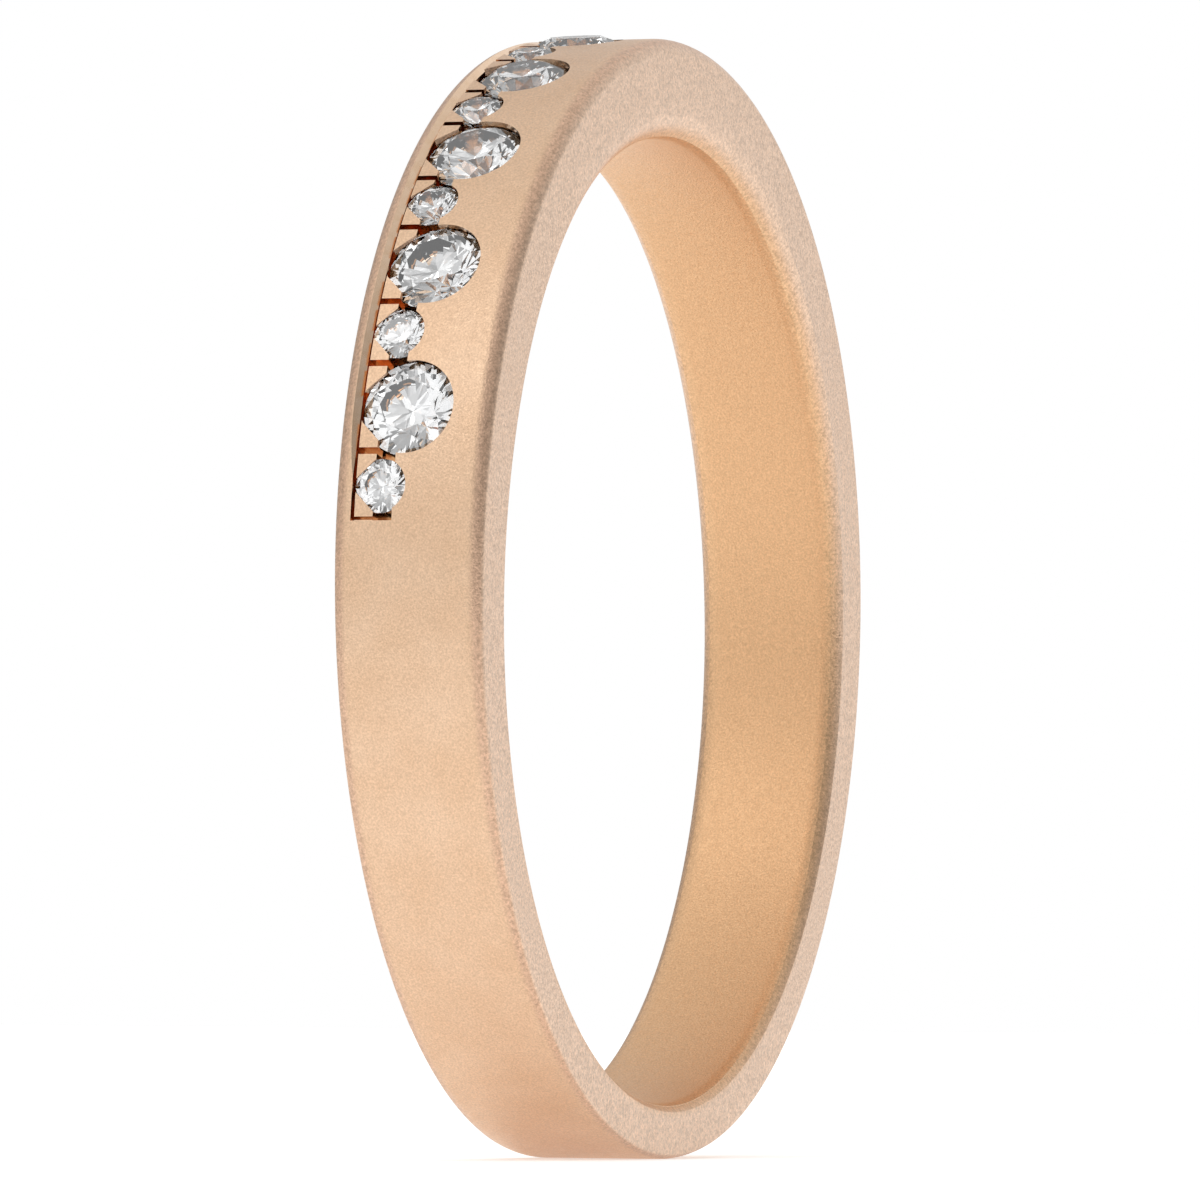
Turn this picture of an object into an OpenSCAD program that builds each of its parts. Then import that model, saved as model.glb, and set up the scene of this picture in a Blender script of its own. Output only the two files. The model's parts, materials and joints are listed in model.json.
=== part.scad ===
// Wedding band, half set with round diamonds.
// A tapered band whose bore sits low in it, so that it is thickest at the top, under the stones.
// The finger axis is Y, the row of stones is centred on +Z, and the origin is the bore's centre.
// All sizes are in millimetres and all angles in degrees.

/* [Band] */
// Diameter of the finger bore
finger_d = 17.3; // [16.9:0.1:18.2]
// Width along the finger at the top, under the stones
top_w = 2.9; // [2.85:0.05:3.2]
// Width along the finger at the bottom
bottom_w = 2.6; // [2.6:0.05:2.75]
// Thickness from the bore to the outer face at the top
top_t = 1.8; // [1.7:0.05:2]
// Thickness from the bore to the outer face at the bottom
bottom_t = 1; // [0.9:0.05:1.2]
// Radius of the rounded outer shoulders
shoulder_r = 0.4; // [0.3:0.02:0.42]
// Radius of the rounding where the side faces roll into the bore
lip_r = 0.6; // [0.5:0.05:0.7]
// How far that rounding reaches outwards from the bore
lip_reach = 0.55; // [0.3:0.05:0.55]

/* [Stones] */
// Girdle diameter of the large stones
large_d = 1.7; // [1.68:0.01:1.7]
// Girdle diameter of the small stones
small_d = 0.95; // [0.94:0.01:0.95]
// How many large stones there are; there is one more small stone than that
large_count = 10; // [4:2:10]
// Angle from one stone to the next, round the outer face
stone_step = 8.08; // [8.05:0.01:8.15]
// Width of the table as a share of the girdle diameter
table_share = 0.56; // [0.52:0.01:0.62]
// Slope of the crown
crown_slope = 32; // [32:0.5:34.5]
// Slope of the pavilion
pavilion_slope = 40.8; // [40:0.2:42]
// Height of the girdle as a share of its diameter
girdle_share = 0.03; // [0.02:0.005:0.04]
// How far the tables of the large stones stand above the outer face
large_proud = 0.08; // [0.05:0.01:0.08]
// How far the tables of the small stones stand above the outer face
small_proud = 0.04; // [0.02:0.01:0.04]

/* [Setting] */
// Y of the channel's far wall, which the stones line up along
channel_far_y = 1.06; // [1.02:0.01:1.08]
// Y of the channel's near wall, which the stones reach across
channel_near_y = 0.3; // [0.25:0.01:0.35]
// Depth of the channel
channel_depth = 0.35; // [0.25:0.05:0.4]
// Gap between the channel's far wall and the prongs
groove_w = 0.07; // [0.05:0.01:0.1]
// Gap between the channel's far wall and the edges of the stones
stone_inset = 0.03; // [0.025:0.005:0.04]
// Width of the flat-topped prongs
prong_w = 0.34; // [0.3:0.01:0.36]
// Gap sawn between the prongs of two neighbouring stones
saw_w = 0.12; // [0.08:0.01:0.14]
// Depth of that saw cut
saw_depth = 0.27; // [0.2:0.01:0.3]
// Distance from a small stone's centre to the middle of the saw cut beside it
saw_offset = 0.61; // [0.6:0.01:0.62]
// How far a prong's tip covers the edge of its stone
prong_grip = 0.08; // [0.06:0.01:0.1]
// How far the rim of a seat's opening covers the edge of its stone
rim_cover = 0.02; // [0.02:0.01:0.03]
// Gap between a stone and its seat
seat_gap = 0.015; // [0.01:0.005:0.02]
// Width of the bright-cut bevel along the rail
bevel_w = 0.13; // [0.1:0.01:0.15]
// Depth of the bright-cut bevel at the channel
bevel_depth = 0.1; // [0.06:0.01:0.12]

/* [Hidden] */
stone_count = 2 * large_count + 1;
LAST_STONE = stone_count - 1;
function stone_name(i) = i % 2 == 0 ? str("small_diamond_", i / 2 + 1) : str("large_diamond_", (i + 1) / 2);

$fn = 96;
SLACK = 0.5;
bore_r = finger_d / 2;
outer_r = (finger_d + top_t + bottom_t) / 2;
outer_z = (top_t - bottom_t) / 2;
// The blank is this much wider than the finished band on each side, and filing its sides flat leaves
// a soft ridge along each shoulder.
FILED = 0.03;
blank_half_w = top_w / 2 + FILED;
lip_y = top_w / 2 - lip_r;
lip_start_y = lip_y + sqrt(lip_r * lip_r - lip_reach * lip_reach);
groove_near_y = channel_far_y - groove_w;
prong_near_y = groove_near_y - prong_w;
// Stones are counted from the -X end of the row, over the top, to the +X end.
function is_large(i) = i % 2 == 1;
function stone_d(i) = is_large(i) ? large_d : small_d;
function stone_angle(i) = 90 + stone_step * (LAST_STONE / 2 - i);
function stone_y(i) = channel_far_y - stone_inset - stone_d(i) / 2;
function crown_h(d) = d * (1 - table_share) / 2 * tan(crown_slope);
function girdle_top_z(i) = (is_large(i) ? large_proud : small_proud) - crown_h(stone_d(i));
function arc_angle(length) = length / outer_r * 180 / PI;
saw_turn = arc_angle(saw_offset);
// The saw leaves this much of a step in front of the wall at each end of the channel.
END_WALL = 0.01;
row_end = stone_angle(0) + saw_turn + arc_angle(END_WALL);
row_start = 180 - row_end;

// Turns a profile of radius and Y about the outer face's axis, from one angle to another,
// both measured from +X towards +Z.
module outer_sweep(from, to) {
    translate([0, 0, outer_z]) rotate([-90, 0, 0]) rotate([0, 0, -to])
        rotate_extrude(angle = to - from) children();
}

// Puts a shape on the outer face at an angle and a Y, with its +Z pointing outwards.
module on_outer_face(angle, y) {
    translate([0, 0, outer_z]) rotate([0, 90 - angle, 0]) translate([0, y, outer_r]) children();
}

module blank_profile() {
    straight_h = 2 * (blank_half_w - shoulder_r);
    translate([0, -straight_h / 2]) square([outer_r, straight_h]);
    translate([0, -blank_half_w]) square([outer_r - shoulder_r, 2 * blank_half_w]);
    for (side = [-1, 1])
        translate([outer_r - shoulder_r, side * straight_h / 2]) circle(shoulder_r);
}

// The wedge that tapers the band, as seen along X.
module side_taper() {
    reach = outer_r + SLACK;
    slope = (top_w - bottom_w) / 2 / (2 * outer_r);
    top_y = top_w / 2 + slope * SLACK;
    bottom_y = bottom_w / 2 - slope * SLACK;
    translate([0, 0, outer_z]) rotate([90, 0, 90])
        linear_extrude(height = 2 * reach, center = true)
            polygon([[-bottom_y, -reach], [bottom_y, -reach], [top_y, reach], [-top_y, reach]]);
}

module lip_profile() {
    difference() {
        translate([0, lip_start_y]) square([bore_r + lip_reach, blank_half_w + SLACK - lip_start_y]);
        translate([bore_r + lip_reach, lip_y]) circle(lip_r);
    }
}

module bore() {
    rotate([-90, 0, 0]) rotate_extrude() {
        translate([0, -blank_half_w - SLACK]) square([bore_r, 2 * (blank_half_w + SLACK)]);
        lip_profile();
        mirror([0, 1]) lip_profile();
    }
}

module channel() {
    outer_sweep(row_start, row_end) {
        translate([outer_r - channel_depth, groove_near_y]) square([channel_depth + SLACK, groove_w]);
        translate([outer_r - channel_depth, channel_near_y])
            square([channel_depth + SLACK, prong_near_y - channel_near_y]);
    }
}

// A cut straight across the prongs, from the open groove to the open side of the channel.
module saw_cut(angle, width) {
    near_y = prong_near_y - groove_w / 2;
    far_y = groove_near_y + groove_w / 2;
    on_outer_face(angle, near_y)
        translate([-width / 2, 0, -saw_depth]) cube([width, far_y - near_y, saw_depth + SLACK]);
}

module saw_cuts() {
    for (i = [1:2:LAST_STONE], side = [-1, 1])
        saw_cut(stone_angle(i) + side * (stone_step - saw_turn), saw_w);
    for (side = [-1, 1])
        saw_cut(90 + side * (row_end - 90 - arc_angle(END_WALL + saw_w / 4)), saw_w / 2);
}

// The rail's inner edge is bevelled from beside the first stone to beside the last.
module bright_cut() {
    run_out = 0.1 * stone_step;
    outer_sweep(stone_angle(LAST_STONE) + run_out, stone_angle(0) - run_out)
        polygon([
            [outer_r - bevel_depth, channel_far_y - groove_w / 2],
            [outer_r - bevel_depth, channel_far_y],
            [outer_r + SLACK * bevel_depth, channel_far_y + (1 + SLACK) * bevel_w],
            [outer_r + SLACK, channel_far_y - groove_w / 2]
        ]);
}

// What the cutter and the burr take out for one stone. Above the girdle the opening is round on the
// near side, where its rim covers the stone's edge, and straight across the prong tips.
module seat(i) {
    r = stone_d(i) / 2 + seat_gap;
    top_z = girdle_top_z(i) + seat_gap;
    bottom_z = girdle_top_z(i) - girdle_share * stone_d(i);
    cone_h = r * tan(pavilion_slope);
    grip_r = stone_d(i) / 2 - prong_grip;
    near_y = (channel_near_y + prong_near_y) / 2;
    middle_z = (top_z + bottom_z) / 2;
    on_outer_face(stone_angle(i), stone_y(i)) {
        translate([0, 0, bottom_z - cone_h]) cylinder(h = cone_h, r1 = 0, r2 = r);
        translate([0, 0, bottom_z]) cylinder(h = top_z - bottom_z, r = r);
        translate([0, 0, top_z]) cylinder(h = crown_h(2 * r), r1 = r, r2 = r * table_share);
        intersection() {
            translate([0, 0, bottom_z]) cylinder(h = SLACK, r = stone_d(i) / 2 - rim_cover);
            union() {
                rotate([0, 0, 45]) translate([-grip_r, -grip_r, middle_z]) cube([2 * grip_r, 2 * grip_r, SLACK]);
                translate([-2 * r, near_y - stone_y(i) - 2 * r, middle_z]) cube([4 * r, 2 * r, SLACK]);
            }
        }
    }
}

module band() color([0.86, 0.70, 0.57]) difference() {
    intersection() {
        translate([0, 0, outer_z]) rotate([-90, 0, 0]) rotate_extrude() blank_profile();
        side_taper();
    }
    bore();
    channel();
    saw_cuts();
    bright_cut();
    for (i = [0:LAST_STONE]) seat(i);
}

// A point at an angle, a radius and a height.
function around(angle, r, z) = [r * cos(angle), r * sin(angle), z];

// A round brilliant: table, 8 star facets, 8 kites and 16 upper halves over a 16-sided girdle,
// with 16 lower halves and 8 main facets under it that meet in a point. Its origin is the centre of
// the girdle's upper edge. Each point's height keeps the four-sided facets flat.
module brilliant(d) {
    r = d / 2;
    turn = 360 / 16;
    table_r = r * table_share;
    star_r = (table_r * cos(turn) + r) / 2;
    star_z = (r - star_r * cos(turn)) * tan(crown_slope);
    girdle_h = girdle_share * d;
    lower_r = 0.22 * r;
    lower_z = -girdle_h - (r - lower_r * cos(turn)) * tan(pavilion_slope);
    points = concat(
        [for (k = [0:7]) around(2 * turn * k, table_r, crown_h(d))],
        [for (k = [0:7]) around(2 * turn * k + turn, star_r, star_z)],
        [for (k = [0:15]) around(turn * k, r, 0)],
        [for (k = [0:15]) around(turn * k, r, -girdle_h)],
        [for (k = [0:7]) around(2 * turn * k + turn, lower_r, lower_z)],
        [[0, 0, -girdle_h - r * tan(pavilion_slope)]]
    );
    STAR = 8;
    UPPER = 16;
    LOWER = 32;
    HALF = 48;
    CULET = 56;
    function next8(k) = (k + 1) % 8;
    function last8(k) = (k + 7) % 8;
    function next16(k) = (k + 1) % 16;
    faces = concat(
        [[for (k = [7:-1:0]) k]],
        [for (k = [0:7]) [k, next8(k), STAR + k]],
        [for (k = [0:7]) [k, STAR + k, UPPER + 2 * k, STAR + last8(k)]],
        [for (k = [0:7]) [STAR + k, UPPER + 2 * k + 1, UPPER + 2 * k]],
        [for (k = [0:7]) [STAR + k, UPPER + next16(2 * k + 1), UPPER + 2 * k + 1]],
        [for (k = [0:15]) [UPPER + k, UPPER + next16(k), LOWER + next16(k), LOWER + k]],
        [for (k = [0:7]) [HALF + k, LOWER + 2 * k, LOWER + 2 * k + 1]],
        [for (k = [0:7]) [HALF + k, LOWER + 2 * k + 1, LOWER + next16(2 * k + 1)]],
        [for (k = [0:7]) [CULET, HALF + last8(k), LOWER + 2 * k, HALF + k]]
    );
    polyhedron(points, faces);
}

module diamond(i) color([0.93, 0.95, 0.97])
    on_outer_face(stone_angle(i), stone_y(i)) translate([0, 0, girdle_top_z(i)]) brilliant(stone_d(i));

band();
for (i = [0:LAST_STONE])
    diamond(i);
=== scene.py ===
import json
import math

import bmesh
import bpy
from mathutils import Matrix, Vector


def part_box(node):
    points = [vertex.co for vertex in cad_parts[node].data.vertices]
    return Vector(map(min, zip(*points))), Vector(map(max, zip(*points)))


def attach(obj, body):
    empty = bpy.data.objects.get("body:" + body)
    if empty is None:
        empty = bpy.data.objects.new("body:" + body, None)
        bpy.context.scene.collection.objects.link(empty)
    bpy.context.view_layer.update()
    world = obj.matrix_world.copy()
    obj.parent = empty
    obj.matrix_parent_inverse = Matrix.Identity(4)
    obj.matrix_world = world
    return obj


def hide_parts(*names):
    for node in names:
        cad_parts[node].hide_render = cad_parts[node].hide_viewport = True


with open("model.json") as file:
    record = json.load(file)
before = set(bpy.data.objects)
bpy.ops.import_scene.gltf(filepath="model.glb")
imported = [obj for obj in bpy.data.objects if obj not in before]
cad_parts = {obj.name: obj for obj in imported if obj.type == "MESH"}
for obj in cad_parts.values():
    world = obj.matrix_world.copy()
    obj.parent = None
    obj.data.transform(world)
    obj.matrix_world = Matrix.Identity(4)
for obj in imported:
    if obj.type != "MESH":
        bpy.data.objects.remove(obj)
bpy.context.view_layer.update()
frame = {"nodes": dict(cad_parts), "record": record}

MM = 0.001

# ---------------------------------------------------------------- sizes, from the frame
# Everything is worked out in millimetres in the CAD frame: finger axis along Y, stones on top, origin
# at the bore's centre. The outer face is round about an axis a little above the bore's.
BAND_LOW, BAND_HIGH = [[value / MM for value in corner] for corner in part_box("band")]
OUTER_R = (BAND_HIGH[0] - BAND_LOW[0]) / 2
OUTER_Z = BAND_LOW[2] + OUTER_R
TOP_HALF_W = BAND_HIGH[1]
FINGER_BORE = next(m for m in frame["record"]["mounts"] if m["name"] == "finger_bore")
BORE_R = FINGER_BORE["dims"]["r_mm"]

# The shape's own values, the same as in the CAD part.
BOTTOM_HALF_W = 2.6 / 2
FILED = 0.03
BLANK_HALF_W = TOP_HALF_W + FILED
SHOULDER_R = 0.4
LIP_R = 0.6
LIP_REACH = 0.55
LIP_Y = TOP_HALF_W - LIP_R
TABLE_SHARE = 0.56
CROWN_SLOPE = math.radians(32)
PAVILION_SLOPE = math.radians(40.8)
GIRDLE_SHARE = 0.03
LOWER_HALVES_SHARE = 0.22
CHANNEL_FAR_Y = 1.06
CHANNEL_NEAR_Y = 0.3
CHANNEL_DEPTH = 0.35
GROOVE_W = 0.07
PRONG_W = 0.34
SAW_W = 0.12
SAW_DEPTH = 0.27
SAW_OFFSET = 0.61
END_WALL = 0.01
PRONG_GRIP = 0.08
RIM_COVER = 0.02
SEAT_GAP = 0.015
BEVEL_W = 0.13
BEVEL_DEPTH = 0.1
STONE_STEP = math.radians(8.08)
GROOVE_NEAR_Y = CHANNEL_FAR_Y - GROOVE_W
PRONG_NEAR_Y = GROOVE_NEAR_Y - PRONG_W

# What only the finished surface has: how far the ridges along the shoulders and the inner ends of the
# lips are rounded off, and how finely round stretches are divided.
RIDGE_SOFTNESS = 0.035
LIP_SOFTNESS = 0.12
RING_STEPS = 480
SETTLING_ROUNDS = 6
SEAT_STEPS = 96
GIRDLE_STEPS = 128
SWEEP_STEP = math.radians(0.75)
CUT_TOLERANCE = 1e-7
WELD_DISTANCE = 1e-5

# Cutters reach this far above the outer face, and a seat's opening this far.
PROUD = 0.4
OVER_FACE = 0.03


def link(obj):
    """Puts an object in the scene."""
    bpy.context.scene.collection.objects.link(obj)
    return obj


def mesh_object(name, points, faces):
    """A mesh from points in millimetres."""
    mesh = bpy.data.meshes.new(name)
    mesh.from_pydata([Vector(p) * MM for p in points], [], faces)
    mesh.validate()
    return link(bpy.data.objects.new(name, mesh))


# ---------------------------------------------------------------- stones, as the frame has them
class Stone:
    """Where a CAD stone sits: its girdle diameter, its Y, its angle round the outer face, and its
    girdle's height above that face."""

    def __init__(self, name):
        low, high = [[value / MM for value in corner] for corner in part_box(name)]
        points = [v.co / MM for v in frame["nodes"][name].data.vertices]
        middle = sum(points, Vector()) / len(points)
        self.name = name
        self.d = high[1] - low[1]
        self.y = (high[1] + low[1]) / 2
        self.angle = math.atan2(middle.z - OUTER_Z, middle.x)
        out = Vector((math.cos(self.angle), 0, math.sin(self.angle)))
        table_distance = max((p - Vector((0, 0, OUTER_Z))).dot(out) for p in points)
        self.crown_h = self.d * (1 - TABLE_SHARE) / 2 * math.tan(CROWN_SLOPE)
        self.girdle_top = table_distance - OUTER_R - self.crown_h
        self.girdle_h = GIRDLE_SHARE * self.d
        self.is_large = name.startswith("large")

    def place(self):
        """Carries a shape from the outer face's own frame to the stone."""
        return outer_face_matrix(self.angle, self.y)


def outer_face_matrix(angle, y):
    """Carries a shape to a spot on the outer face, its +Z outwards and its Y along the finger axis."""
    return (
        Matrix.Translation((0, 0, OUTER_Z))
        @ Matrix.Rotation(math.pi / 2 - angle, 4, "Y")
        @ Matrix.Translation((0, y, OUTER_R))
    )


# The stones in order, from the -X end of the row over the top to the +X end.
STONES = sorted((Stone(name) for name in frame["nodes"] if "diamond" in name), key=lambda s: -s.angle)


# ---------------------------------------------------------------- the band's blank
def out_to(radius_about_outer_axis, angle):
    """Distance from the bore's axis to a circle about the outer face's axis, along a ray."""
    return OUTER_Z * math.sin(angle) + math.sqrt(
        radius_about_outer_axis**2 - (OUTER_Z * math.cos(angle)) ** 2
    )


def half_width(reach, angle):
    """Half the tapered band's width at a point a distance from the bore's axis."""
    height = reach * math.sin(angle) - OUTER_Z + OUTER_R
    return BOTTOM_HALF_W + (TOP_HALF_W - BOTTOM_HALF_W) * height / (2 * OUTER_R)


def spread(start, end, count):
    """Even steps from start, as many as asked for, that stop one step short of end."""
    return [start + (end - start) * k / count for k in range(count)]


def rounded_corner(before, corner, after, softness, count):
    """Points of a short curve that rounds the corner between two neighbouring points."""
    first = corner + (before - corner).normalized() * softness
    last = corner + (after - corner).normalized() * softness
    found = []
    for k in range(count + 1):
        t = k / count
        found.append(first * (1 - t) ** 2 + corner * 2 * t * (1 - t) + last * t * t)
    return found


def half_section(angle):
    """Half of the band's cross-section at an angle, from the middle of the outer face round the +Y
    side to the middle of the bore, as (distance from the bore's axis, Y)."""
    shoulder_y = BLANK_HALF_W - SHOULDER_R

    def shoulder(turn):
        reach = out_to(OUTER_R - SHOULDER_R * (1 - math.cos(turn)), angle)
        return Vector((reach, shoulder_y + SHOULDER_R * math.sin(turn)))

    # Where a curve meets the side face sets the width there and the width sets where it meets, so a
    # few rounds settle both.
    turn_end = math.radians(60)
    for _ in range(SETTLING_ROUNDS):
        wide = half_width(shoulder(turn_end).x, angle)
        turn_end = math.asin((wide - shoulder_y) / SHOULDER_R)
    ridge = shoulder(turn_end)

    def lip(turn):
        return Vector((BORE_R + LIP_REACH - LIP_R * math.sin(turn), LIP_Y + LIP_R * math.cos(turn)))

    lip_from = 0.0
    for _ in range(SETTLING_ROUNDS):
        wide = half_width(lip(lip_from).x, angle)
        lip_from = math.acos(min(1.0, (wide - LIP_Y) / LIP_R))
    lip_to = math.asin(LIP_REACH / LIP_R)
    lip_outer, lip_inner = lip(lip_from), lip(lip_to)

    outer_face = [Vector((out_to(OUTER_R, angle), y)) for y in spread(0, shoulder_y, 7)]
    shoulder_arc = [shoulder(t) for t in spread(0, turn_end - RIDGE_SOFTNESS / SHOULDER_R, 9)]
    ridge_curve = rounded_corner(shoulder(turn_end * 0.9), ridge, lip_outer, RIDGE_SOFTNESS, 4)
    side_from = ridge_curve[-1]
    side_face = [side_from.lerp(lip_outer, t) for t in (0.25, 0.5, 0.75)]
    lip_arc = [lip(t) for t in spread(lip_from, lip_to - LIP_SOFTNESS / LIP_R, 10)]
    middle = Vector((BORE_R, 0))
    lip_curve = rounded_corner(lip(lip_to * 0.95), lip_inner, middle, LIP_SOFTNESS, 4)
    bore_face = [lip_curve[-1].lerp(middle, t) for t in (0.33, 0.67, 1.0)]
    return outer_face + shoulder_arc + ridge_curve + side_face + lip_arc + lip_curve + bore_face


def band_blank():
    """The band before its stones are set, lofted through cross-sections all the way round."""
    points, faces = [], []
    for step in range(RING_STEPS):
        angle = 2 * math.pi * step / RING_STEPS
        half = half_section(angle)
        loop = half + [Vector((p.x, -p.y)) for p in reversed(half[1:-1])]
        points += [(p.x * math.cos(angle), p.y, p.x * math.sin(angle)) for p in loop]
        size = len(loop)
        here, after = step * size, (step + 1) % RING_STEPS * size
        for k in range(size):
            then = (k + 1) % size
            faces.append((here + k, after + k, after + then, here + then))
    return mesh_object("band_gold", points, faces)


# ---------------------------------------------------------------- what the cutters take out
def revolved_cutter(profile, start, end, rise=0.0):
    """A closed solid swept about the outer axis from a profile of (radius, Y). It rises by an amount
    over the last stone step at each end, so that its cut runs out there."""
    count = max(2, math.ceil((end - start) / SWEEP_STEP))
    points, faces, size = [], [], len(profile)
    for k in range(count + 1):
        angle = start + (end - start) * k / count
        left = min(1.0, min(angle - start, end - angle) / STONE_STEP)
        up = rise * (1 - left) ** 2
        for r, y in profile:
            points.append(((r + up) * math.cos(angle), y, (r + up) * math.sin(angle) + OUTER_Z))
    for k in range(count):
        for p in range(size):
            q = (p + 1) % size
            faces.append((k * size + p, k * size + q, (k + 1) * size + q, (k + 1) * size + p))
    faces.append(tuple(reversed(range(size))))
    faces.append(tuple(range(count * size, (count + 1) * size)))
    return mesh_object("cutter", points, faces)


def lathe(profile):
    """A solid turned about Z from (radius, height) points that start and end on the axis."""
    inner = profile[1:-1]
    points = [(0, 0, profile[0][1]), (0, 0, profile[-1][1])]
    for k in range(SEAT_STEPS):
        angle = 2 * math.pi * k / SEAT_STEPS
        points += [(r * math.cos(angle), r * math.sin(angle), z) for r, z in inner]
    faces, size = [], len(inner)
    for k in range(SEAT_STEPS):
        here, after = 2 + k * size, 2 + (k + 1) % SEAT_STEPS * size
        faces.append((0, after, here))
        for p in range(size - 1):
            faces.append((here + p, after + p, after + p + 1, here + p + 1))
        faces.append((1, here + size - 1, after + size - 1))
    return mesh_object("cutter", points, faces)


def box_object(low, high):
    """A box between two corners."""
    xs, ys, zs = zip(low, high)
    points = [(x, y, z) for x in xs for y in ys for z in zs]
    faces = [(0, 1, 3, 2), (4, 6, 7, 5), (0, 4, 5, 1), (2, 3, 7, 6), (0, 2, 6, 4), (1, 5, 7, 3)]
    return mesh_object("cutter", points, faces)


def moved(obj, matrix):
    """Moves an object's own mesh by a matrix in millimetres."""
    scale = Matrix.Scale(MM, 4)
    obj.data.transform(scale @ matrix @ scale.inverted())
    return obj


def outward(obj):
    """Points every face of a closed mesh outwards."""
    bm = bmesh.new()
    bm.from_mesh(obj.data)
    bmesh.ops.recalc_face_normals(bm, faces=bm.faces)
    bm.to_mesh(obj.data)
    bm.free()
    return obj


def combine(obj, other, operation):
    """Boolean of obj with other, kept in obj. The other object is used up."""
    outward(other)
    modifier = obj.modifiers.new("combine", "BOOLEAN")
    modifier.operation = operation
    modifier.solver = "MANIFOLD"
    modifier.object = other
    modifier.material_mode = "TRANSFER"
    depsgraph = bpy.context.evaluated_depsgraph_get()
    result = bpy.data.meshes.new_from_object(obj.evaluated_get(depsgraph), depsgraph=depsgraph)
    obj.modifiers.clear()
    old = obj.data
    obj.data = result
    bpy.data.meshes.remove(old)
    bpy.data.objects.remove(other)
    return obj


def seat_cutter(stone):
    """One stone's seat: a cone for the pavilion, a ring for the girdle and a clear way above it. The
    way is round on the near side, where its wall leans in over the stone's edge, and straight across
    the prong tips, which stay over the girdle. The way's wall takes the polished gold painted pale as a
    painted reflection, and the rest takes the graved gold painted dark as painted shade."""
    r = stone.d / 2 + SEAT_GAP
    top = stone.girdle_top + SEAT_GAP
    bottom = stone.girdle_top - stone.girdle_h
    grip = stone.d / 2 - PRONG_GRIP
    near_y = (CHANNEL_NEAR_Y + PRONG_NEAR_Y) / 2 - stone.y
    crown_top = top + 2 * r * (1 - TABLE_SHARE) / 2 * math.tan(CROWN_SLOPE)
    seat = lathe(
        [
            (0, bottom - r * math.tan(PAVILION_SLOPE)),
            (r, bottom),
            (r, top),
            (r * TABLE_SHARE, crown_top),
            (0, crown_top),
        ]
    )
    outward(seat)
    girdle_top = top - SEAT_GAP
    above = lathe([(0, girdle_top), (r, girdle_top), (r - RIM_COVER, OVER_FACE), (0, OVER_FACE)])
    outward(above)
    # The seat's upper wall takes the gold painted pale as a painted reflection.
    above.data.materials.append(PALE_GOLD_PAINTED_REFLECTION)
    window = box_object((-grip, -grip, top - PROUD), (grip, grip, top + 2 * PROUD))
    moved(window, Matrix.Rotation(math.pi / 4, 4, "Z"))
    outward(window)
    near_side = box_object((-2 * r, near_y - 2 * r, top - PROUD), (2 * r, near_y, top + 2 * PROUD))
    combine(window, near_side, "UNION")
    window.data.materials.append(PALE_GOLD_PAINTED_REFLECTION)
    combine(above, window, "INTERSECT")
    # The seat's cone and girdle ring take the gold painted dark as painted shade.
    seat.data.materials.append(RECESS_GOLD_PAINTED_SHADE)
    combine(seat, above, "UNION")
    return moved(seat, stone.place())


def arc(length):
    """The angle that a length round the outer face takes up."""
    return length / OUTER_R


def setting_cutter():
    """All that is cut away round the stones, as one solid."""
    first, last = STONES[0].angle, STONES[-1].angle
    row_end = first + arc(SAW_OFFSET + END_WALL)
    row_start = math.pi - row_end
    floor_r, sky_r = OUTER_R - CHANNEL_DEPTH, OUTER_R + PROUD

    def slot(near_y, far_y):
        return [(floor_r, near_y), (sky_r, near_y), (sky_r, far_y), (floor_r, far_y)]

    groove = slot(GROOVE_NEAR_Y, CHANNEL_FAR_Y)
    open_side = slot(CHANNEL_NEAR_Y, PRONG_NEAR_Y)
    bevel = [
        (OUTER_R - BEVEL_DEPTH, CHANNEL_FAR_Y - GROOVE_W / 2),
        (OUTER_R - BEVEL_DEPTH, CHANNEL_FAR_Y),
        (OUTER_R + BEVEL_DEPTH / 2, CHANNEL_FAR_Y + 1.5 * BEVEL_W),
        (sky_r, CHANNEL_FAR_Y - GROOVE_W / 2),
    ]
    run_out = 0.1 * STONE_STEP
    whole = outward(revolved_cutter(groove, row_start, row_end))
    # The groove and the open side of the channel take the gold painted dark as painted shade.
    whole.data.materials.append(RECESS_GOLD_PAINTED_SHADE)
    combine(whole, revolved_cutter(open_side, row_start, row_end), "UNION")
    rail = revolved_cutter(bevel, last + run_out, first - run_out, rise=BEVEL_DEPTH)
    # The bevel takes the gold painted pale as a painted reflection.
    rail.data.materials.append(PALE_GOLD_PAINTED_REFLECTION)
    combine(whole, rail, "UNION")
    near_y, far_y = PRONG_NEAR_Y - GROOVE_W / 2, GROOVE_NEAR_Y + GROOVE_W / 2

    def saw(angle, width):
        cut = box_object((-width / 2, near_y, -SAW_DEPTH), (width / 2, far_y, PROUD))
        return moved(cut, outer_face_matrix(angle, 0))

    for stone in STONES:
        if stone.is_large:
            for side in (-1, 1):
                combine(whole, saw(stone.angle + side * (STONE_STEP - arc(SAW_OFFSET)), SAW_W), "UNION")
    for side in (-1, 1):
        angle = math.pi / 2 + side * (row_end - math.pi / 2 - arc(END_WALL + SAW_W / 4))
        combine(whole, saw(angle, SAW_W / 2), "UNION")
    for stone in STONES:
        combine(whole, seat_cutter(stone), "UNION")
    return whole


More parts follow.
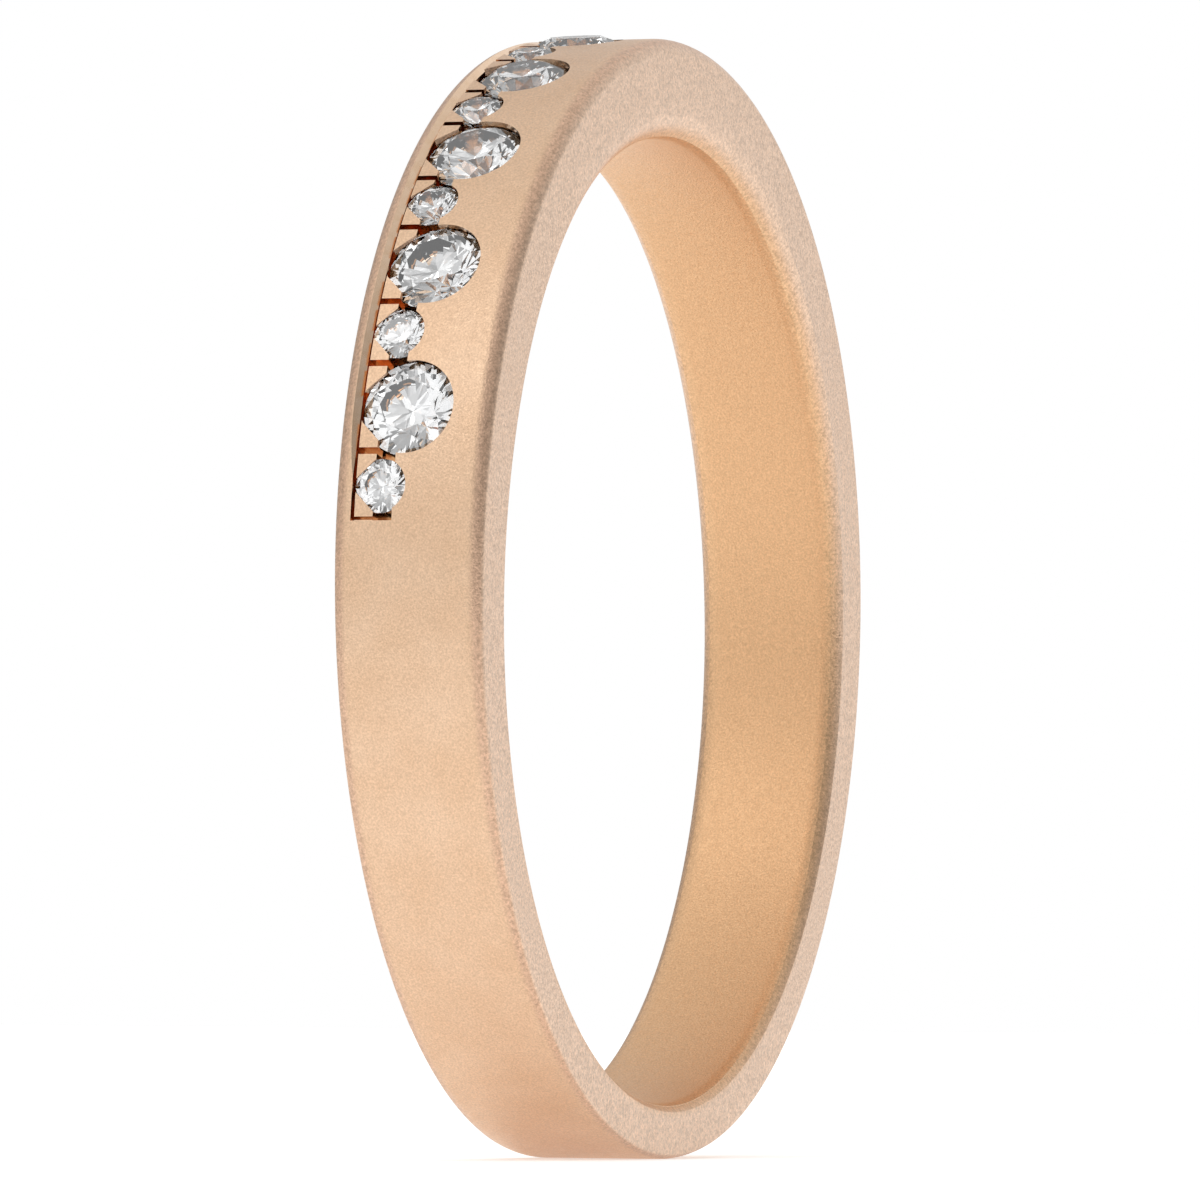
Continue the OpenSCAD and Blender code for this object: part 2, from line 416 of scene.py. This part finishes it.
# ---------------------------------------------------------------- brilliants
def brilliant(stone):
    """A round brilliant cut from a cylinder by its 57 facet planes, so that every facet is flat and the
    girdle is round with the scalloped edge that the facets leave on it."""
    r = stone.d / 2
    turn = math.radians(22.5)
    table_r = r * TABLE_SHARE
    star_r = (table_r * math.cos(turn) + r) / 2
    star_z = (r - star_r * math.cos(turn)) * math.tan(CROWN_SLOPE)
    lower_r = LOWER_HALVES_SHARE * r
    depth = r * math.tan(PAVILION_SLOPE)
    lower_z = -stone.girdle_h - (r - lower_r * math.cos(turn)) * math.tan(PAVILION_SLOPE)
    culet = Vector((0, 0, -stone.girdle_h - depth))
    middle = Vector((0, 0, -0.3 * depth))

    def around(angle, radius, z):
        return Vector((radius * math.cos(angle), radius * math.sin(angle), z))

    def plane(a, b, c):
        """The plane through three points, its normal away from the stone's middle."""
        normal = (b - a).cross(c - a).normalized()
        return (a, normal if normal.dot(a - middle) > 0 else -normal)

    cuts = [(Vector((0, 0, stone.crown_h)), Vector((0, 0, 1)))]
    for k in range(8):
        here = 2 * turn * k
        half = here + turn
        after = here + 2 * turn
        table_here = around(here, table_r, stone.crown_h)
        star_here = around(half, star_r, star_z)
        girdle_half = around(half, r, 0)
        cuts.append(plane(table_here, around(after, table_r, stone.crown_h), star_here))
        cuts.append(plane(table_here, star_here, around(half - 2 * turn, star_r, star_z)))
        cuts.append(plane(star_here, around(here, r, 0), girdle_half))
        cuts.append(plane(star_here, girdle_half, around(after, r, 0)))
        lower = around(half, lower_r, lower_z)
        low_half = around(half, r, -stone.girdle_h)
        cuts.append(plane(lower, around(here, r, -stone.girdle_h), low_half))
        cuts.append(plane(lower, low_half, around(after, r, -stone.girdle_h)))
        cuts.append(plane(culet, lower, around(half - 2 * turn, lower_r, lower_z)))
    bm = bmesh.new()
    bmesh.ops.create_cone(
        bm,
        cap_ends=True,
        segments=GIRDLE_STEPS,
        radius1=r,
        radius2=r,
        depth=2 * depth,
        matrix=Matrix.Translation(middle),
    )
    for point, normal in cuts:
        geometry = bm.verts[:] + bm.edges[:] + bm.faces[:]
        cut = bmesh.ops.bisect_plane(
            bm, geom=geometry, plane_co=point, plane_no=normal, clear_outer=True, dist=CUT_TOLERANCE
        )
        edges = [e for e in cut["geom_cut"] if isinstance(e, bmesh.types.BMEdge)]
        if edges:
            bmesh.ops.contextual_create(bm, geom=edges)
    bmesh.ops.remove_doubles(bm, verts=bm.verts, dist=WELD_DISTANCE)
    bmesh.ops.recalc_face_normals(bm, faces=bm.faces)
    bm.transform(Matrix.Translation((0, 0, stone.girdle_top)))
    bm.transform(Matrix.Scale(MM, 4) @ stone.place())
    mesh = bpy.data.meshes.new(stone.name + "_cut")
    bm.to_mesh(mesh)
    bm.free()
    return link(bpy.data.objects.new(stone.name + "_cut", mesh))


# ---------------------------------------------------------------- materials
class Nodes:
    """Short calls for building a node material."""

    def __init__(self, name):
        self.material = bpy.data.materials.new(name)
        self.material.use_nodes = True
        self.tree = self.material.node_tree
        self.shader = self.tree.nodes["Principled BSDF"]

    def add(self, kind, **values):
        node = self.tree.nodes.new("ShaderNode" + kind)
        for key, value in values.items():
            if key in node.inputs:
                node.inputs[key].default_value = value
            else:
                setattr(node, key, value)
        return node

    def join(self, source, target):
        self.tree.links.new(source, target)

    def noise(self, scale, detail=3.0, roughness=0.5):
        coordinates = self.add("TexCoord")
        noise = self.add("TexNoise", Scale=scale, Detail=detail, Roughness=roughness)
        self.join(coordinates.outputs["Object"], noise.inputs["Vector"])
        return noise

    def ramp(self, source, stops):
        ramp = self.add("ValToRGB")
        elements = ramp.color_ramp.elements
        while len(elements) < len(stops):
            elements.new(0.5)
        for element, (position, colour) in zip(elements, stops):
            element.position = position
            element.color = (*colour, 1)
        self.join(source, ramp.inputs["Fac"])
        return ramp

    def mask(self, coordinates, axes, start, end):
        """0 to 1 as the length of a coordinate along some of its axes goes from start to end."""
        source = self.add("TexCoord").outputs[coordinates]
        kept = self.add("VectorMath", operation="MULTIPLY")
        kept.inputs[1].default_value = axes
        self.join(source, kept.inputs[0])
        length = self.add("VectorMath", operation="LENGTH")
        self.join(kept.outputs["Vector"], length.inputs[0])
        spread_out = self.add("MapRange", interpolation_type="SMOOTHSTEP")
        spread_out.inputs["From Min"].default_value = start
        spread_out.inputs["From Max"].default_value = end
        self.join(length.outputs["Value"], spread_out.inputs["Value"])
        return spread_out.outputs["Result"]

    def mix(self, first, second, factor, blend="MIX"):
        """Mixes two colours, each a node's output or a plain colour, by a factor of either kind."""
        mix = self.add("Mix", data_type="RGBA", blend_type=blend)
        factor_input, first_input, second_input = mix.inputs[0], mix.inputs[6], mix.inputs[7]
        for value, socket in ((factor, factor_input), (first, first_input), (second, second_input)):
            if isinstance(value, bpy.types.NodeSocket):
                self.join(value, socket)
            else:
                socket.default_value = (*value, 1) if isinstance(value, tuple) else value
        return mix.outputs[2]

    def set(self, **values):
        for key, value in values.items():
            self.shader.inputs[key.replace("_", " ")].default_value = value


def grey(value):
    return (value, value, value)


# Noise scales are repeats a metre, so 27000 makes specks of about 0.04 mm. Colours are linear.


def matte_gold():
    """Fine blasted rose gold: a bump, a scatter of lighter and darker specks and a change of gloss make
    its grain, and a broader noise clouds its tone. Light and shade are painted into its colour: the bore
    is painted a more saturated gold as a painted reflection of the gold around it, the shoulders and lips
    a darker, redder gold as painted shade, with coarser specks that are partly grain and partly painted
    glints, and the side faces a lighter, less saturated gold as painted light."""
    n = Nodes("matte_rose_gold")
    n.set(Metallic=1.0)
    cloud_tones = [(0.3, (0.725, 0.488, 0.318)), (0.7, (0.765, 0.535, 0.365))]
    cloud = n.ramp(n.noise(900, 3).outputs["Fac"], cloud_tones)
    sides = n.mask("Normal", (0, 1, 0), 0.55, 0.95)
    shoulders = n.mask("Normal", (0, 1, 0), 0.1, 0.45)
    # Painted shade: the shoulders and lips, picked by their normal, are given a darker, redder gold.
    with_shoulders_painted_shade = n.mix(cloud.outputs["Color"], (0.665, 0.44, 0.305), shoulders)
    # Painted light: faces turned to the sides, picked by their normal, are given a lighter, less
    # saturated gold.
    with_sides_painted_light = n.mix(with_shoulders_painted_shade, (0.755, 0.545, 0.40), sides)
    # Painted reflection: the bore is given a more saturated gold for the light that the gold around it
    # throws back in.
    in_bore = n.mask("Object", (1, 0, 1), (BORE_R + 0.3) * MM, BORE_R * MM)
    with_bore_painted_reflection = n.mix(with_sides_painted_light, (0.74, 0.46, 0.255), in_bore)
    speck_tones = [(0.3, grey(0.84)), (0.5, grey(0.97)), (0.7, grey(1.12))]
    specks = n.ramp(n.noise(27000, 2, 0.6).outputs["Fac"], speck_tones)
    speckled = n.mix(with_bore_painted_reflection, specks.outputs["Color"], 1.0, "MULTIPLY")
    # Coarser specks on the shoulders and lips: grain, brightened past the base colour as painted glints
    # where the roundings catch the light.
    coarse_tones = [(0.36, grey(0.80)), (0.5, grey(1.0)), (0.64, grey(1.16))]
    coarse = n.ramp(n.noise(15000, 3, 0.7).outputs["Fac"], coarse_tones)
    n.join(n.mix(speckled, coarse.outputs["Color"], shoulders, "MULTIPLY"), n.shader.inputs["Base Color"])
    sheen = n.ramp(n.noise(9000, 3).outputs["Fac"], [(0.3, grey(0.30)), (0.7, grey(0.42))])
    n.join(sheen.outputs["Color"], n.shader.inputs["Roughness"])
    bump = n.add("Bump", Strength=1.0, Distance=0.000012)
    n.join(n.noise(24000, 3, 0.65).outputs["Fac"], bump.inputs["Height"])
    n.join(bump.outputs["Normal"], n.shader.inputs["Normal"])
    return n.material


def recess_gold_painted_shade():
    """Shiny gold in the channel and in the seats, with fine graver marks, painted a dark brown as painted
    shade of the recesses.
    """
    n = Nodes("graved_gold_painted_shade")
    n.set(Metallic=1.0)
    # Painted shade: the dark brown tones stand for the shade down in the channel and the seats.
    tone = n.ramp(n.noise(3000, 3).outputs["Fac"], [(0.3, (0.55, 0.25, 0.10)), (0.7, (0.64, 0.34, 0.16))])
    n.join(tone.outputs["Color"], n.shader.inputs["Base Color"])
    sheen = n.ramp(n.noise(9000, 2).outputs["Fac"], [(0.3, grey(0.12)), (0.7, grey(0.22))])
    n.join(sheen.outputs["Color"], n.shader.inputs["Roughness"])
    bump = n.add("Bump", Strength=0.3, Distance=0.000004)
    n.join(n.noise(12000, 2).outputs["Fac"], bump.inputs["Height"])
    n.join(bump.outputs["Normal"], n.shader.inputs["Normal"])
    return n.material


def pale_gold_painted_reflection():
    """The bright-cut bevel and the seats' upper walls: polished gold with a slight ripple from the
    graver, painted pale as a painted reflection of bright surroundings.
    """
    n = Nodes("bright_cut_gold_painted_reflection")
    n.set(Metallic=1.0)
    # Painted reflection: the pale tones stand for the bright light that the polished faces throw back.
    tone = n.ramp(n.noise(5000, 3).outputs["Fac"], [(0.3, (0.78, 0.55, 0.37)), (0.7, (0.84, 0.62, 0.45))])
    n.join(tone.outputs["Color"], n.shader.inputs["Base Color"])
    sheen = n.ramp(n.noise(7000, 2).outputs["Fac"], [(0.3, grey(0.16)), (0.7, grey(0.28))])
    n.join(sheen.outputs["Color"], n.shader.inputs["Roughness"])
    bump = n.add("Bump", Strength=0.4, Distance=0.000008)
    n.join(n.noise(4500, 2).outputs["Fac"], bump.inputs["Height"])
    n.join(bump.outputs["Normal"], n.shader.inputs["Normal"])
    return n.material


def diamond_material():
    """Clear stone with the faintest clouds of grey in it and a trace of polishing haze on its facets."""
    n = Nodes("diamond")
    n.set(IOR=2.417, Transmission_Weight=1.0)
    clouds = n.ramp(n.noise(2500, 3).outputs["Fac"], [(0.35, (0.965, 0.975, 0.985)), (0.65, grey(1.0))])
    n.join(clouds.outputs["Color"], n.shader.inputs["Base Color"])
    haze = n.ramp(n.noise(9000, 2).outputs["Fac"], [(0.5, grey(0.0)), (0.75, grey(0.02))])
    n.join(haze.outputs["Color"], n.shader.inputs["Roughness"])
    return n.material


def backdrop_material():
    """A pale floor that is a little clouded, and lit enough from within to stay white in the picture."""
    n = Nodes("pale_floor")
    tone = n.ramp(n.noise(60, 2).outputs["Fac"], [(0.3, grey(0.90)), (0.7, grey(0.93))])
    n.join(tone.outputs["Color"], n.shader.inputs["Base Color"])
    n.join(tone.outputs["Color"], n.shader.inputs["Emission Color"])
    n.set(Roughness=0.9, Emission_Strength=0.45)
    return n.material


# ---------------------------------------------------------------- the object
MATTE, RECESS_GOLD_PAINTED_SHADE, PALE_GOLD_PAINTED_REFLECTION, DIAMOND = matte_gold(), recess_gold_painted_shade(), pale_gold_painted_reflection(), diamond_material()

band = outward(band_blank())
band.data.materials.append(MATTE)
setting = setting_cutter()
combine(band, setting, "DIFFERENCE")
band.data.polygons.foreach_set("use_smooth", [True] * len(band.data.polygons))
band.data.set_sharp_from_angle(angle=math.radians(18))
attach(band, "root")
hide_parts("band")

for stone in STONES:
    cut_stone = brilliant(stone)
    cut_stone.data.materials.append(DIAMOND)
    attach(cut_stone, "root")
    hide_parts(stone.name)

# ---------------------------------------------------------------- floor, light and camera
FLOOR_HALF = 4000
FLOOR_CORNERS = ((-1, -1), (1, -1), (1, 1), (-1, 1))
floor_points = [(x * FLOOR_HALF, y * FLOOR_HALF, BAND_LOW[2]) for x, y in FLOOR_CORNERS]
floor = mesh_object("floor", floor_points, [(0, 1, 2, 3)])
floor.data.materials.append(backdrop_material())

# A white studio, brightest above, to the front left of the object and to its right, and duller where
# the photographer stands. The camera itself sees plain white. Each glow is where it shines from, how
# many degrees it spreads and how bright it is.
ROOM_LIGHT = 0.36
GLOWS = [
    ((-0.10, 0.30, 0.95), 85, 0.58),
    ((-0.94, 0.35, 0.10), 60, 0.33),
    ((0.94, -0.35, 0.10), 60, 0.58),
]
world = bpy.data.worlds.new("studio")
bpy.context.scene.world = world
world.use_nodes = True


def studio_light(tree):
    """Sets the world's strength from the direction that is looked in, as the sum of the glows."""

    def add(kind, **values):
        node = tree.nodes.new("ShaderNode" + kind)
        for key, value in values.items():
            setattr(node, key, value)
        return node

    direction = add("TexCoord").outputs["Generated"]
    total = None
    for towards, spread_angle, amount in GLOWS:
        facing = add("VectorMath", operation="DOT_PRODUCT")
        tree.links.new(direction, facing.inputs[0])
        facing.inputs[1].default_value = Vector(towards).normalized()
        glow = add("MapRange", interpolation_type="SMOOTHERSTEP")
        glow.inputs["From Min"].default_value = math.cos(math.radians(spread_angle))
        glow.inputs["From Max"].default_value = 1.0
        glow.inputs["To Min"].default_value = ROOM_LIGHT if total is None else 0.0
        glow.inputs["To Max"].default_value = amount + glow.inputs["To Min"].default_value
        tree.links.new(facing.outputs["Value"], glow.inputs["Value"])
        if total is None:
            total = glow.outputs["Result"]
        else:
            both = add("Math", operation="ADD")
            tree.links.new(total, both.inputs[0])
            tree.links.new(glow.outputs["Result"], both.inputs[1])
            total = both.outputs[0]
    ray = add("LightPath")
    strength = add("MapRange")
    tree.links.new(ray.outputs["Is Camera Ray"], strength.inputs["Value"])
    tree.links.new(total, strength.inputs["To Min"])
    strength.inputs["To Max"].default_value = 1.0
    tree.links.new(strength.outputs["Result"], tree.nodes["Background"].inputs["Strength"])
    tree.nodes["Background"].inputs["Color"].default_value = (1, 1, 1, 1)


studio_light(world.node_tree)


def softbox(name, place, width, watts):
    """A soft square light that points at the bore's centre and that the camera doesn't see."""
    light = bpy.data.lights.new(name, "AREA")
    light.shape = "RECTANGLE"
    light.size = light.size_y = width * MM
    light.energy = watts
    lamp = link(bpy.data.objects.new(name, light))
    lamp.location = Vector(place) * MM
    lamp.rotation_euler = (-Vector(place)).to_track_quat("-Z", "Y").to_euler()
    lamp.visible_camera = False


softbox("key_softbox", (-120, 40, 130), 70, 0.02)

# The camera looks at the outer face's axis from the front left, from a little below the middle, with
# a long lens. Its distance is in metres, and its lens and shifts are in widths of the picture.
CAMERA_AZIMUTH = math.radians(-69.7)
CAMERA_ELEVATION = math.radians(-2.08)
CAMERA_ROLL = math.radians(0.434)
CAMERA_DISTANCE = 0.2106
LENS = 9.753
SHIFT_X = -0.00725
SHIFT_Y = -0.0007
SENSOR = 36.0
back = Vector(
    (
        math.sin(CAMERA_AZIMUTH) * math.cos(CAMERA_ELEVATION),
        -math.cos(CAMERA_AZIMUTH) * math.cos(CAMERA_ELEVATION),
        math.sin(CAMERA_ELEVATION),
    )
)
level_right = Vector((math.cos(CAMERA_AZIMUTH), math.sin(CAMERA_AZIMUTH), 0))
level_up = back.cross(level_right)
right = level_right * math.cos(CAMERA_ROLL) + level_up * math.sin(CAMERA_ROLL)
up = level_up * math.cos(CAMERA_ROLL) - level_right * math.sin(CAMERA_ROLL)
camera_data = bpy.data.cameras.new("camera")
camera_data.sensor_width = SENSOR
camera_data.lens = LENS * SENSOR
camera_data.shift_x = SHIFT_X
camera_data.shift_y = SHIFT_Y
camera_data.clip_start = 0.01
camera_data.clip_end = 20
camera = link(bpy.data.objects.new("camera", camera_data))
turned = Matrix((right, up, back)).transposed().to_4x4()
stand = Vector((0, 0, OUTER_Z * MM)) + back * CAMERA_DISTANCE
camera.matrix_world = Matrix.Translation(stand) @ turned
bpy.context.scene.camera = camera
bpy.context.scene.view_settings.view_transform = "Standard"
